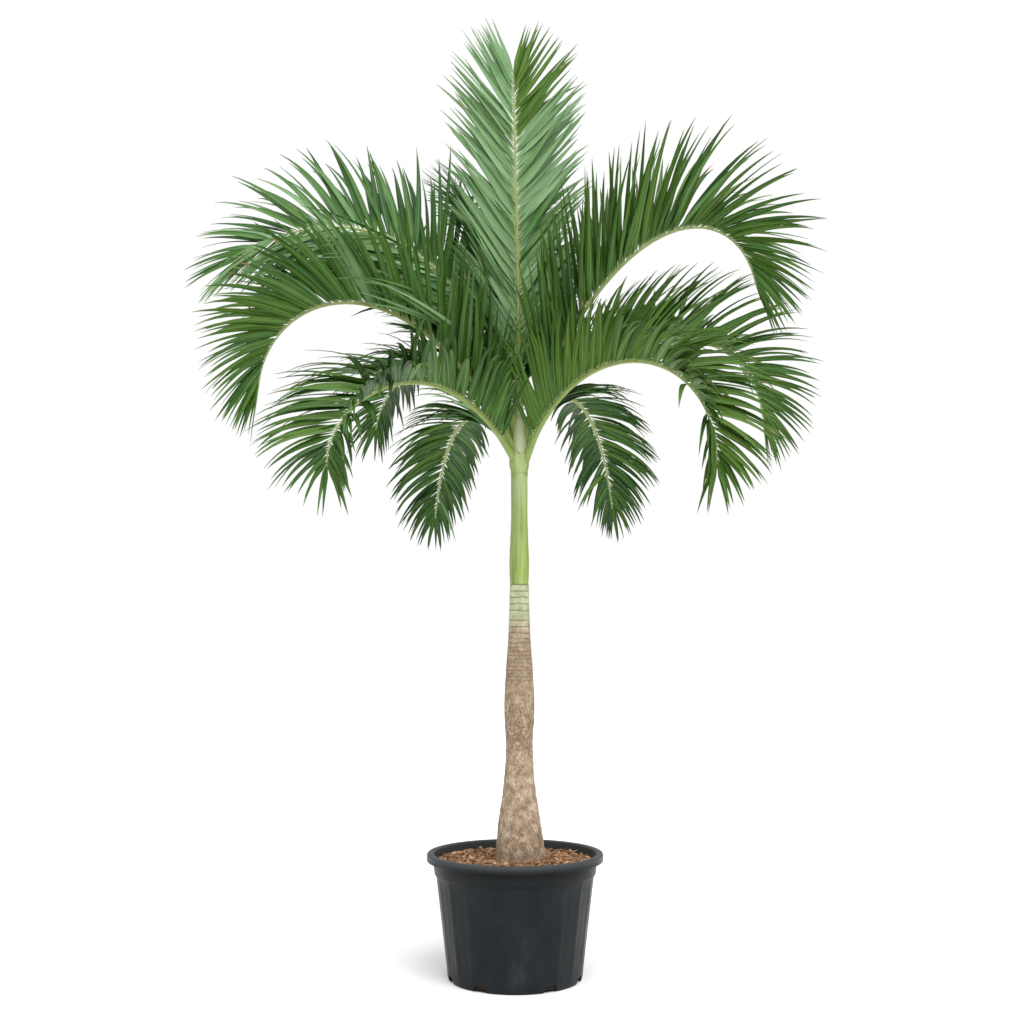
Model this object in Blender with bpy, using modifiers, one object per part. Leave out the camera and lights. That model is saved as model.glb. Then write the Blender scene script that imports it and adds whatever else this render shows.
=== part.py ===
"""Potted feather palm: a nursery pot, its soil and mulch, a ringed trunk, a crownshaft and twelve fronds.

Metres, +Z up. The origin is the centre of the pot's underside, and the front is -Y.
"""

import math
from collections import namedtuple

import bmesh
import bpy
from mathutils import Vector
from mathutils.bvhtree import BVHTree

collection_name = "potted_palm"
gap = 0.0003
sides_around_pot = 48
sides_around_stem = 20

# Pot
pot_height = 0.276
rim_radius = 0.200
rim_overhang = 0.014
rim_depth = 0.018
rim_round = 0.005
pot_wall = 0.003
pot_floor = 0.004
pot_base_radius = 0.151
collar_depth = 0.047
collar_step = 0.003
base_corner = 0.006
drain_width = 0.030
drain_height = 0.014
drain_angles = (30, 70, 110, 150, 210, 250, 290, 330)

# Soil and mulch
mulch_below_rim = 0.0187
mulch_thickness = 0.013

# Trunk: its length above the mulch, and its radius at shares of that length
trunk_x = 0.010
trunk_length = 0.6242
root_depth = 0.075
trunk_profile = (
    (0.0560, 0.000),
    (0.0540, 0.048),
    (0.0480, 0.139),
    (0.0380, 0.243),
    (0.0318, 0.349),
    (0.0320, 0.456),
    (0.0352, 0.555),
    (0.0330, 0.642),
    (0.0259, 0.797),
    (0.0220, 1.000),
)

# Crownshaft and the young sheath that stands inside its top
crownshaft_height = 0.3035
crownshaft_base_radius = 0.0222
crownshaft_belly_radius = 0.0238
crownshaft_waist_radius = 0.0203
crownshaft_top_radius = 0.0215
sheath_height = 0.145
sheath_base_radius = 0.0186
sheath_top_radius = 0.0070

# Frond stalks
stalk_base_radius = 0.0070
stalk_tip_radius = 0.0022
petiole_points = 5
curve_samples = 200

# Leaflet rows
leaflet_pitch = 0.070
leaflet_length = 0.270
leaflet_width = 0.036
leaflet_tip_width = 0.004
leaf_thickness = 0.0016
strip_width = 0.010
leaflet_clearance = 0.0025
lean_swell = 14
shortest_share = 0.25

# Azimuth and angles are in degrees, lengths in metres. A frond's stalk is a curve in an upright
# plane: it leaves the sheath at base above its foot, at the launch angle, and ends after reach
# and rise at the tip angle; the pulls are how far each end holds its direction. Sweep bends it
# sideways. Bare is the share of the stalk below its first leaflets. Lift is how far each side's
# leaflets stand up, lean the first leaflets' angle from the stalk and last_lean the end ones',
# droop their bend towards the ground, size their share of leaflet_length, and least the
# smallest share of that size an end leaflet has.
Frond = namedtuple(
    "Frond",
    "azimuth base launch launch_pull reach rise tip tip_pull sweep "
    "bare lift_left lift_right lean last_lean droop size least",
    defaults=[0.38],
)
fronds = {
    "frond_01": Frond(98, 0.150, 87, 0.35, 0.10, 0.835, 82, 0.30, 0.00, 0.20, 14, 14, 38, 18, 0.04, 0.90, 0.62),
    "frond_02": Frond(112, 0.095, 80, 0.35, 0.42, 0.60, 0, 0.25, 0.00, 0.22, 40, 40, 50, 20, 0.15, 0.85),
    "frond_03": Frond(1, 0.075, 69, 0.58, 0.545, 0.335, -80, 0.24, 0.00, 0.18, 58, 50, 46, 15, 0.14, 1.12),
    "frond_04": Frond(177, 0.095, 77, 0.48, 0.67, 0.38, -38, 0.28, 0.00, 0.22, -45, 60, 48, 20, 0.12, 1.14),
    "frond_05": Frond(150, 0.055, 67, 0.32, 0.65, 0.47, -19, 0.33, -0.015, 0.22, -12, 40, 50, 20, 0.30, 0.90),
    "frond_06": Frond(28, 0.045, 74, 0.20, 0.71, 0.08, -82, 0.41, 0.00, 0.18, 45, 50, 50, 15, 0.22, 0.95),
    "frond_07": Frond(193, 0.030, 61, 0.54, 0.58, 0.10, -88, 0.22, 0.00, 0.12, 52, 58, 46, 15, 0.18, 1.00),
    "frond_08": Frond(330, 0.004, 66, 0.32, 0.51, -0.08, -85, 0.29, -0.12, 0.12, 42, 45, 46, 18, 0.35, 0.90),
    "frond_09": Frond(144, 0.024, 60, 0.29, 0.46, 0.09, -71, 0.20, -0.035, 0.20, 22, 22, 62, 15, 0.60, 0.72),
    "frond_10": Frond(218, 0.000, 51, 0.37, 0.55, -0.09, -82, 0.13, 0.11, 0.14, 30, 32, 52, 20, 0.40, 0.95),
    "frond_11": Frond(60, 0.020, 55, 0.28, 0.49, -0.10, -74, 0.33, 0.005, 0.24, 20, 18, 62, 12, 0.60, 0.76),
    "frond_12": Frond(118, 0.008, 42, 0.23, 0.47, -0.115, -74, 0.33, -0.01, 0.22, 18, 20, 62, 12, 0.60, 0.76),
}

colours = {
    "pot_plastic": ((0.026, 0.031, 0.034), 0.45),
    "soil": ((0.075, 0.045, 0.028), 0.95),
    "mulch": ((0.200, 0.095, 0.048), 0.92),
    "bark": ((0.420, 0.330, 0.225), 0.85),
    "crownshaft_green": ((0.310, 0.400, 0.130), 0.55),
    "sheath_green": ((0.380, 0.440, 0.220), 0.60),
    "stalk_green": ((0.270, 0.330, 0.085), 0.50),
    "leaf_green": ((0.045, 0.130, 0.045), 0.45),
}


collar_bottom = pot_height - collar_depth
mulch_level = pot_height - mulch_below_rim
soil_level = mulch_level - mulch_thickness - gap
trunk_top = mulch_level + trunk_length
crownshaft_top = trunk_top + gap + crownshaft_height
sheath_base = crownshaft_top + gap


def wall_outer_radius(height):
    """Outer radius of the pot's wall below the collar."""
    full_height = pot_height - rim_depth
    top_radius = rim_radius - rim_overhang - collar_step
    return pot_base_radius + (top_radius - pot_base_radius) * height / full_height


def wall_inner_radius(height):
    """Inner radius of the pot, whose wall opens faster from the collar up to the rim."""
    if height <= collar_bottom:
        return wall_outer_radius(height) - pot_wall
    shoulder = wall_outer_radius(collar_bottom) - pot_wall
    mouth = rim_radius - rim_overhang - pot_wall
    share = (height - collar_bottom) / (collar_depth - rim_round)
    return shoulder + (mouth - shoulder) * min(1.0, share)


def sheath_radius(height_above_base):
    """Radius of the tapering young sheath."""
    share = min(1.0, max(0.0, height_above_base / sheath_height))
    return sheath_base_radius + (sheath_top_radius - sheath_base_radius) * share


def clear_scene():
    for thing in list(bpy.data.objects):
        bpy.data.objects.remove(thing, do_unlink=True)
    for group in list(bpy.data.collections):
        bpy.data.collections.remove(group)


def make_collection(name):
    group = bpy.data.collections.new(name)
    bpy.context.scene.collection.children.link(group)
    return group


def make_material(name, colour, roughness):
    material = bpy.data.materials.new(name)
    material.use_nodes = True
    shader = material.node_tree.nodes["Principled BSDF"]
    shader.inputs["Base Color"].default_value = (*colour, 1.0)
    shader.inputs["Roughness"].default_value = roughness
    shader.inputs["Metallic"].default_value = 0.0
    material.diffuse_color = (*colour, 1.0)
    return material


def add_object(name, data, group, material=None, location=(0, 0, 0)):
    thing = bpy.data.objects.new(name, data)
    thing.location = location
    group.objects.link(thing)
    if material is not None:
        data.materials.append(material)
    return thing


def turned(name, profile, group, material, sides, location=(0, 0, 0)):
    """A solid turned about Z from a profile that runs down its outer side."""
    mesh = bpy.data.meshes.new(name)
    edges = [(i, i + 1) for i in range(len(profile) - 1)]
    mesh.from_pydata([(radius, 0, height) for radius, height in profile], edges, [])
    thing = add_object(name, mesh, group, material, location)
    screw = thing.modifiers.new("Turn", "SCREW")
    screw.axis = "Z"
    screw.steps = sides
    screw.render_steps = sides
    screw.use_merge_vertices = True
    screw.merge_threshold = 0.00005
    screw.use_smooth_shade = False
    return thing


def cut(thing, cutter):
    boolean = thing.modifiers.new("Cut " + cutter.name, "BOOLEAN")
    boolean.operation = "DIFFERENCE"
    boolean.solver = "EXACT"
    boolean.object = cutter


def hide_cutter(cutter):
    cutter.hide_render = True
    cutter.display_type = "WIRE"


def rim_profile():
    """The rolled lip, from the inner wall over the crest to its lower edge."""
    wall_outside = rim_radius - rim_overhang
    inner = wall_outside - pot_wall
    return [
        (inner, pot_height - rim_round),
        (inner + rim_round * 0.4, pot_height - rim_round * 0.2),
        (inner + rim_round, pot_height),
        (rim_radius - rim_round, pot_height),
        (rim_radius - rim_round * 0.3, pot_height - rim_round * 0.3),
        (rim_radius, pot_height - rim_round),
        (rim_radius, pot_height - rim_depth + rim_round * 0.4),
        (rim_radius - rim_round * 0.4, pot_height - rim_depth),
        (wall_outside, pot_height - rim_depth),
    ]


def build_pot(group, cutters, material):
    collar_radius = wall_outer_radius(collar_bottom) + collar_step
    profile = [(0, pot_floor)]
    profile += [(wall_inner_radius(height), height) for height in (pot_floor, collar_bottom)]
    profile += rim_profile()
    profile += [
        (collar_radius, collar_bottom),
        (wall_outer_radius(collar_bottom), collar_bottom - collar_step),
        (wall_outer_radius(base_corner), base_corner),
        (pot_base_radius - base_corner * 0.5, 0),
        (0, 0),
    ]
    pot = turned("pot", profile, group, material, sides_around_pot)
    for number, angle in enumerate(drain_angles, 1):
        name = f"drain_cutter_{number}"
        mesh = bpy.data.meshes.new(name)
        block = bmesh.new()
        bmesh.ops.create_cube(block, size=1.0)
        depth = 4 * pot_wall + 2 * base_corner
        bmesh.ops.scale(block, vec=(depth, drain_width, 2 * drain_height), verts=block.verts)
        block.to_mesh(mesh)
        block.free()
        turn = math.radians(angle - 90)
        place = (pot_base_radius * math.cos(turn), pot_base_radius * math.sin(turn), 0)
        cutter = add_object(name, mesh, cutters, None, place)
        cutter.rotation_euler.z = turn
        hide_cutter(cutter)
        cut(pot, cutter)
    return pot


def trunk_points():
    """The trunk's profile, down its outer side and into the root crown."""
    points = [(0, trunk_top)]
    for radius, share in reversed(trunk_profile):
        points.append((radius, mulch_level + trunk_length * share))
    flare = trunk_profile[0][0]
    root_end = soil_level - root_depth
    points.append((flare * 0.8, soil_level - root_depth * 0.6))
    points.append((flare * 0.45, root_end))
    points.append((0, root_end))
    return points


def filling_profile(top, bottom):
    """A disc of soil or mulch that meets the pot's wall all round, from top to bottom."""
    heights = [top, bottom]
    if bottom < collar_bottom < top:
        heights.insert(1, collar_bottom)
    side = [(wall_inner_radius(height) - gap, height) for height in heights]
    return [(0, top)] + side + [(0, bottom)]


def build_soil(group, cutters, soil_material, mulch_material):
    """Soil and mulch fill the pot, and the trunk's root crown leaves its own hole in both."""
    profile = filling_profile(soil_level, pot_floor + gap)
    soil = turned("potting_soil", profile, group, soil_material, sides_around_pot)
    profile = filling_profile(mulch_level, soil_level + gap)
    mulch = turned("bark_mulch", profile, group, mulch_material, sides_around_pot)

    hollow = []
    for radius, height in trunk_points():
        if height <= mulch_level + mulch_thickness:
            grown = radius + 2 * gap if radius > 0 else 0
            lowered = height - 2 * gap if height < soil_level else height
            hollow.append((grown, lowered))
    hollow.insert(0, (hollow[0][0], mulch_level + 2 * mulch_thickness))
    hollow.insert(0, (0, mulch_level + 2 * mulch_thickness))
    cutter = turned("root_cutter", hollow, cutters, None, sides_around_stem, (trunk_x, 0, 0))
    hide_cutter(cutter)
    cut(soil, cutter)
    cut(mulch, cutter)


def build_trunk(group, material):
    turned("trunk", trunk_points(), group, material, sides_around_stem, (trunk_x, 0, 0))


def build_crownshaft(group, shaft_material, sheath_material):
    base = trunk_top + gap
    profile = [
        (0, crownshaft_top),
        (crownshaft_top_radius, crownshaft_top),
        (crownshaft_waist_radius, base + crownshaft_height * 0.50),
        (crownshaft_belly_radius, base + crownshaft_height * 0.20),
        (crownshaft_base_radius, base),
        (0, base),
    ]
    turned("crownshaft", profile, group, shaft_material, sides_around_stem, (trunk_x, 0, 0))
    profile = [
        (0, sheath_base + sheath_height),
        (sheath_top_radius, sheath_base + sheath_height),
        (sheath_base_radius, sheath_base),
        (0, sheath_base),
    ]
    turned("inner_sheath", profile, group, sheath_material, sides_around_stem, (trunk_x, 0, 0))


def bezier(start, start_handle, end_handle, end, share):
    rest = 1 - share
    return (
        rest**3 * start
        + 3 * rest**2 * share * start_handle
        + 3 * rest * share**2 * end_handle
        + share**3 * end
    )


def frond_line(frond):
    """Dense points along a frond's stalk, from the sheath to the tip."""
    azimuth, launch, tip = (math.radians(a) for a in (frond.azimuth, frond.launch, frond.tip))
    base = frond.base
    outward = Vector((math.cos(azimuth), math.sin(azimuth), 0))
    sideways = Vector((-math.sin(azimuth), math.cos(azimuth), 0))
    if base > sheath_height:
        base = sheath_height + gap + stalk_base_radius * math.cos(launch)
        foot = 0.0
    else:
        foot = sheath_radius(base) + gap + stalk_base_radius * math.sin(launch)
    flat_start = Vector((foot, base))
    flat_end = Vector((foot + frond.reach, base + frond.rise))
    start_handle = flat_start + frond.launch_pull * Vector((math.cos(launch), math.sin(launch)))
    end_handle = flat_end - frond.tip_pull * Vector((math.cos(tip), math.sin(tip)))
    line = []
    for index in range(curve_samples + 1):
        share = index / curve_samples
        flat = bezier(flat_start, start_handle, end_handle, flat_end, share)
        point = Vector((trunk_x, 0, sheath_base)) + flat.x * outward
        line.append(point + flat.y * Vector((0, 0, 1)) + frond.sweep * share**2 * sideways)
    return line


def lengths_along(line):
    total = [0.0]
    for before, after in zip(line, line[1:]):
        total.append(total[-1] + (after - before).length)
    return total


def point_at(line, lengths, distance):
    for index in range(1, len(line)):
        if lengths[index] >= distance:
            part = (distance - lengths[index - 1]) / (lengths[index] - lengths[index - 1])
            return line[index - 1].lerp(line[index], part)
    return line[-1].copy()


def stations_of(frond):
    """Points along the stalk: a few up the bare part, then one at each leaflet's edges."""
    line = frond_line(frond)
    lengths = lengths_along(line)
    full = lengths[-1]
    bare = full * frond.bare
    leaflet_count = max(4, round((full - bare) / leaflet_pitch))
    pitch = (full - bare) / leaflet_count
    distances = [bare * index / petiole_points for index in range(petiole_points)]
    distances += [bare + pitch * 0.5 * index for index in range(2 * leaflet_count + 1)]
    return [(point_at(line, lengths, distance), distance / full) for distance in distances]


def stalk_radius(share):
    return stalk_base_radius + (stalk_tip_radius - stalk_base_radius) * share**0.8


def build_stalk(name, stations, group, material):
    curve = bpy.data.curves.new(name, "CURVE")
    curve.dimensions = "3D"
    curve.bevel_depth = 1.0
    curve.bevel_resolution = 1
    curve.use_fill_caps = True
    spline = curve.splines.new("POLY")
    spline.points.add(len(stations) - 1)
    for spot, (point, share) in zip(spline.points, stations):
        spot.co = (*point, 1.0)
        spot.radius = stalk_radius(share)
    add_object(name, curve, group, material)


def leaflet_share(along):
    """A leaflet's length as a share of the longest, from the first pair to the tip."""
    return 0.62 + 2.42 * along - 4.43 * along**2 + 1.77 * along**3


def leaflet_frame(stations, index, side, lift):
    """Forward, outward and face directions at one station of the leafed part."""
    here = stations[index][0]
    before = stations[max(index - 1, 0)][0]
    after = stations[min(index + 1, len(stations) - 1)][0]
    forward = (after - before).normalized()
    flat_side = Vector((-forward.y, forward.x, 0))
    first = stations[petiole_points][0] - stations[0][0]
    if flat_side.length < 0.2:
        flat_side = Vector((-first.y, first.x, 0))
    flat_side.normalize()
    if flat_side.dot(Vector((-first.y, first.x, 0))) < 0:
        flat_side = -flat_side
    upward = forward.cross(flat_side)
    outward = math.cos(lift) * side * flat_side + math.sin(lift) * upward
    return here, forward, outward


def lift_of(frond, side):
    return math.radians(frond.lift_left if side > 0 else frond.lift_right)


def leaflet_outline(stations, index, side, frond, scale):
    """The edge pairs of one leaflet: root, widest place and tip."""
    lift = lift_of(frond, side)
    leafed = len(stations) - 1 - petiole_points
    along = (index - petiole_points) / leafed
    tip_share = along**6
    lean = (frond.lean + lean_swell * along) * (1 - tip_share) + frond.last_lean * tip_share
    lean = math.radians(lean)
    length = leaflet_length * frond.size * max(leaflet_share(along), frond.least) * scale
    edges = []
    for step in (index, index + 1):
        here, forward, outward = leaflet_frame(stations, step, side, lift)
        reach = stalk_radius(stations[step][1]) + gap + leaf_thickness * 0.5
        edges.append(here + outward * (reach + strip_width))
    here, forward, outward = leaflet_frame(stations, index + 1, side, lift)
    direction = math.cos(lean) * forward + math.sin(lean) * outward
    across = (edges[1] - edges[0]).normalized()
    centre = (edges[0] + edges[1]) * 0.5
    down = Vector((0, 0, -1))
    outline = [edges]
    for bend, width in ((0.5, leaflet_width), (1.5, leaflet_tip_width)):
        centre = centre + (direction + down * frond.droop * bend).normalized() * length * 0.5
        outline.append([centre - across * width * 0.5, centre + across * width * 0.5])
    return outline


def leaflet_tree(outline):
    """A thick test shape around one leaflet, for measuring what it would touch."""
    half = leaf_thickness * 0.5 + leaflet_clearance
    first, second = outline[0]
    face = (second - first).cross(outline[1][0] - first).normalized() * half
    points = []
    faces = []
    for pair in outline:
        points += [pair[0] + face, pair[1] + face, pair[1] - face, pair[0] - face]
    for ring in range(len(outline) - 1):
        base = 4 * ring
        for corner in range(4):
            turn = (corner + 1) % 4
            faces.append((base + corner, base + turn, base + 4 + turn, base + 4 + corner))
    return points, faces


def stalk_shape(stations, extra):
    """A square test tube around a stalk."""
    points = []
    faces = []
    for index, (point, share) in enumerate(stations):
        ahead = stations[min(index + 1, len(stations) - 1)][0]
        behind = stations[max(index - 1, 0)][0]
        forward = (ahead - behind).normalized()
        first = forward.orthogonal().normalized()
        second = forward.cross(first)
        size = (stalk_radius(share) + extra) * math.sqrt(2)
        points += [point + first * size, point + second * size]
        points += [point - first * size, point - second * size]
        if index > 0:
            base = 4 * index
            for corner in range(4):
                turn = (corner + 1) % 4
                faces.append((base + corner - 4, base + turn - 4, base + turn, base + corner))
    return points, faces


def strip_edges(stations, side, frond):
    """The inner and outer edge of the strip that a stalk's leaflets grow from."""
    lift = lift_of(frond, side)
    inner = []
    outer = []
    for index in range(petiole_points, len(stations)):
        here, forward, outward = leaflet_frame(stations, index, side, lift)
        reach = stalk_radius(stations[index][1]) + gap + leaf_thickness * 0.5
        inner.append(here + outward * reach)
        outer.append(here + outward * (reach + strip_width))
    return inner, outer


def strip_shape(stations, side, frond):
    """A flat test shape of one strip."""
    inner, outer = strip_edges(stations, side, frond)
    count = len(inner)
    faces = [(i, i + 1, count + i + 1, count + i) for i in range(count - 1)]
    return inner + outer, faces


class Crowd:
    """Everything in the crown that a new leaflet has to stay clear of, by frond."""

    def __init__(self):
        self.trees = []

    def add(self, owner, shape):
        points, faces = shape
        self.trees.append((owner, BVHTree.FromPolygons(points, faces)))

    def touches(self, owner, shape):
        points, faces = shape
        probe = BVHTree.FromPolygons(points, faces)
        return any(probe.overlap(tree) for name, tree in self.trees if name != owner)


def fitted_outline(stations, index, side, frond, crowd, owner):
    """The leaflet at its full length, or as long as its neighbours let it be."""
    scale = 1.0
    while scale > shortest_share:
        outline = leaflet_outline(stations, index, side, frond, scale)
        shape = leaflet_tree(outline)
        if not crowd.touches(owner, shape):
            crowd.add(owner, shape)
            return outline
        scale -= 0.125
    return None


def extrude_edge(sheet, edge, old_pair, new_pair):
    """Extrudes one open edge from its old pair of corners to a new pair, and returns it."""
    made = bmesh.ops.extrude_edge_only(sheet, edges=[edge])["geom"]
    corners = [part for part in made if isinstance(part, bmesh.types.BMVert)]
    for vert in corners:
        near_first = (vert.co - old_pair[0]).length < (vert.co - old_pair[1]).length
        vert.co = new_pair[0] if near_first else new_pair[1]
    return sheet.edges.get(corners)


def build_leaflet_row(name, owner, stations, side, group, material, crowd):
    """A strip along the stalk, whose outer edge is drawn out into leaflets, then thickened."""
    frond = fronds[owner]
    inner, outer = strip_edges(stations, side, frond)
    last = len(stations) - 1
    sheet = bmesh.new()
    verts = [sheet.verts.new(point) for point in inner]
    spine = [sheet.edges.new(pair) for pair in zip(verts, verts[1:])]
    made = bmesh.ops.extrude_edge_only(sheet, edges=spine)["geom"]
    new_verts = [part for part in made if isinstance(part, bmesh.types.BMVert)]
    outer_verts = [min(new_verts, key=lambda vert: (vert.co - point).length) for point in inner]
    for vert, point in zip(outer_verts, outer):
        vert.co = point
    for index in range(petiole_points, last, 2):
        outline = fitted_outline(stations, index, side, frond, crowd, owner)
        if outline is None:
            continue
        place = index - petiole_points
        edge = sheet.edges.get((outer_verts[place], outer_verts[place + 1]))
        for old_pair, new_pair in zip(outline, outline[1:]):
            edge = extrude_edge(sheet, edge, old_pair, new_pair)
    bmesh.ops.recalc_face_normals(sheet, faces=sheet.faces)
    mesh = bpy.data.meshes.new(name)
    sheet.to_mesh(mesh)
    sheet.free()
    row = add_object(name, mesh, group, material)
    solid = row.modifiers.new("Thickness", "SOLIDIFY")
    solid.thickness = leaf_thickness
    solid.offset = 0.0


def build_fronds(group, stalk_material, leaf_material):
    lines = {name: stations_of(frond) for name, frond in fronds.items()}
    crowd = Crowd()
    for name, stations in lines.items():
        build_stalk(name + "_stalk", stations, group, stalk_material)
        crowd.add(name, stalk_shape(stations, leaflet_clearance))
        for side in (1, -1):
            crowd.add(name, strip_shape(stations, side, fronds[name]))
    for name, stations in lines.items():
        for side, side_name in ((1, "left"), (-1, "right")):
            row_name = f"{name}_leaflets_{side_name}"
            build_leaflet_row(row_name, name, stations, side, group, leaf_material, crowd)


def build_palm():
    clear_scene()
    group = make_collection(collection_name)
    cutters = make_collection("cutters")
    paint = {name: make_material(name, *look) for name, look in colours.items()}
    build_pot(group, cutters, paint["pot_plastic"])
    build_soil(group, cutters, paint["soil"], paint["mulch"])
    build_trunk(group, paint["bark"])
    build_crownshaft(group, paint["crownshaft_green"], paint["sheath_green"])
    build_fronds(group, paint["stalk_green"], paint["leaf_green"])


build_palm()
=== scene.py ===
import math
import random

import bmesh
import bpy
import numpy as np
from mathutils import Euler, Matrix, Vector, noise


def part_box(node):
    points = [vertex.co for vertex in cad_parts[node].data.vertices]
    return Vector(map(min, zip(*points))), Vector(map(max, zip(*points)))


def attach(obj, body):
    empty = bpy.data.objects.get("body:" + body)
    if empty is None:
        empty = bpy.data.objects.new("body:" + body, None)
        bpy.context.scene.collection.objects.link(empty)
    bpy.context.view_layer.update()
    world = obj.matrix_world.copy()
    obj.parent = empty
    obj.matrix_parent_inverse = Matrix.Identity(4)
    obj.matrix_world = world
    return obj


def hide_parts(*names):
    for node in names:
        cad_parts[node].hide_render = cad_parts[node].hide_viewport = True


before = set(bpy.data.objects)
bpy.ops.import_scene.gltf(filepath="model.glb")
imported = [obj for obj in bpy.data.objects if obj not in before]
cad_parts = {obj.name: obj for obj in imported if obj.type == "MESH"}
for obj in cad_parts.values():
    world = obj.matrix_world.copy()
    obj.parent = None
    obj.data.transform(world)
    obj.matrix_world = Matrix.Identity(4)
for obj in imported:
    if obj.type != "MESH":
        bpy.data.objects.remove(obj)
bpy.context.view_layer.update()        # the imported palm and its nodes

random.seed(11)
print("frame loaded:", len(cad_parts), "nodes")


# ---- small helpers ----

def deselectAll():
    if bpy.context.object and bpy.context.object.mode != "OBJECT":
        bpy.ops.object.mode_set(mode="OBJECT")
    bpy.ops.object.select_all(action="DESELECT")


def makeActive(piece):
    deselectAll()
    piece.select_set(True)
    bpy.context.view_layer.objects.active = piece


def applyModifier(piece, modifier):
    makeActive(piece)
    bpy.ops.object.modifier_apply(modifier=modifier.name)


def joinPieces(pieces, name):
    deselectAll()
    for piece in pieces:
        piece.select_set(True)
    bpy.context.view_layer.objects.active = pieces[0]
    if len(pieces) > 1:
        bpy.ops.object.join()
    joined = bpy.context.object
    joined.name = name
    joined.data.name = name
    return joined


def applyPlace(piece):
    makeActive(piece)
    bpy.ops.object.transform_apply(location=True, rotation=True, scale=True)


def outwardNormals(piece):
    makeActive(piece)
    bpy.ops.object.mode_set(mode="EDIT")
    bpy.ops.mesh.select_all(action="SELECT")
    bpy.ops.mesh.remove_doubles(threshold=0.00002)
    bpy.ops.mesh.normals_make_consistent(inside=False)
    bpy.ops.object.mode_set(mode="OBJECT")


def smoothShade(piece, angle=40):
    makeActive(piece)
    bpy.ops.object.shade_smooth_by_angle(angle=math.radians(angle))


def storeFloat(piece, name, values):
    made = piece.data.attributes.new(name, "FLOAT", "POINT")
    made.data.foreach_set("value", np.asarray(values, dtype=np.float32))


def readPoints(piece):
    points = np.empty(len(piece.data.vertices) * 3, dtype=np.float32)
    piece.data.vertices.foreach_get("co", points)
    return points.reshape(-1, 3).astype(float)


def writePoints(piece, points):
    piece.data.vertices.foreach_set("co", points.astype(np.float32).ravel())
    piece.data.update()


def turnedShape(name, profile, centre, steps):
    # a single corner is drawn along the profile, then spun about the upright axis
    deselectAll()
    bpy.ops.mesh.primitive_plane_add(size=0.01, location=(0, 0, 0))
    piece = bpy.context.object
    piece.name = name
    bpy.ops.object.mode_set(mode="EDIT")
    bpy.ops.mesh.select_mode(type="VERT")
    bpy.ops.mesh.select_all(action="SELECT")
    bpy.ops.mesh.merge(type="CENTER")
    lastRadius, lastHeight = profile[0]
    bpy.ops.transform.translate(value=(centre[0] + lastRadius, centre[1], lastHeight))
    for radius, height in profile[1:]:
        step = (radius - lastRadius, 0, height - lastHeight)
        bpy.ops.mesh.extrude_region_move(TRANSFORM_OT_translate={"value": step})
        lastRadius, lastHeight = radius, height
    bpy.ops.mesh.select_all(action="SELECT")
    bpy.ops.mesh.spin(steps=steps, angle=2 * math.pi, center=(centre[0], centre[1], 0), axis=(0, 0, 1))
    bpy.ops.object.mode_set(mode="OBJECT")
    outwardNormals(piece)
    return piece


def smoothStep(value, start, end):
    share = np.clip((np.asarray(value, dtype=float) - start) / (end - start), 0.0, 1.0)
    return share * share * (3 - 2 * share)


def profileRadius(height, stations):
    heights = [station[1] for station in stations]
    radii = [station[0] for station in stations]
    slopes = np.gradient(radii, heights)
    index = int(np.clip(np.searchsorted(heights, height) - 1, 0, len(heights) - 2))
    span = heights[index + 1] - heights[index]
    share = min(1.0, max(0.0, (height - heights[index]) / span))
    rest = 1 - share
    bend = rest * rest * (1 + 2 * share) * radii[index] + share * share * (3 - 2 * share) * radii[index + 1]
    return bend + span * share * rest * (rest * slopes[index] - share * slopes[index + 1])


def finishPiece(piece, nodes, materials):
    if materials:
        piece.data.materials.clear()
        for material in materials:
            piece.data.materials.append(material)
    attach(piece, "root")
    if nodes:
        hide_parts(*nodes)


# ---- camera, floor and light ----

stageSettings = {
    "cameraPlace": (-0.007, -2.97, 0.75),
    "cameraTilt": 5.8,
    "lens": 45,
    "floorSize": 60,
    "floorColour": (0.93, 0.93, 0.93),
    "worldColour": (1.0, 1.0, 1.0),
    "backdropStrength": 1.0,
    # how bright the studio is from the floor, the horizon and overhead
    "roomLight": (0.30, 0.50, 1.00),
    # lamp: where it shines from, strength, softness in degrees, colour
    "lamps": (
        ("keySun", (1.5, -3.0, 4.7), 2.3, 48, (1.0, 0.985, 0.95)),
        ("topSun", (-0.6, -0.3, 5.0), 0.9, 60, (1.0, 1.0, 1.0)),
    ),
}


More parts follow.
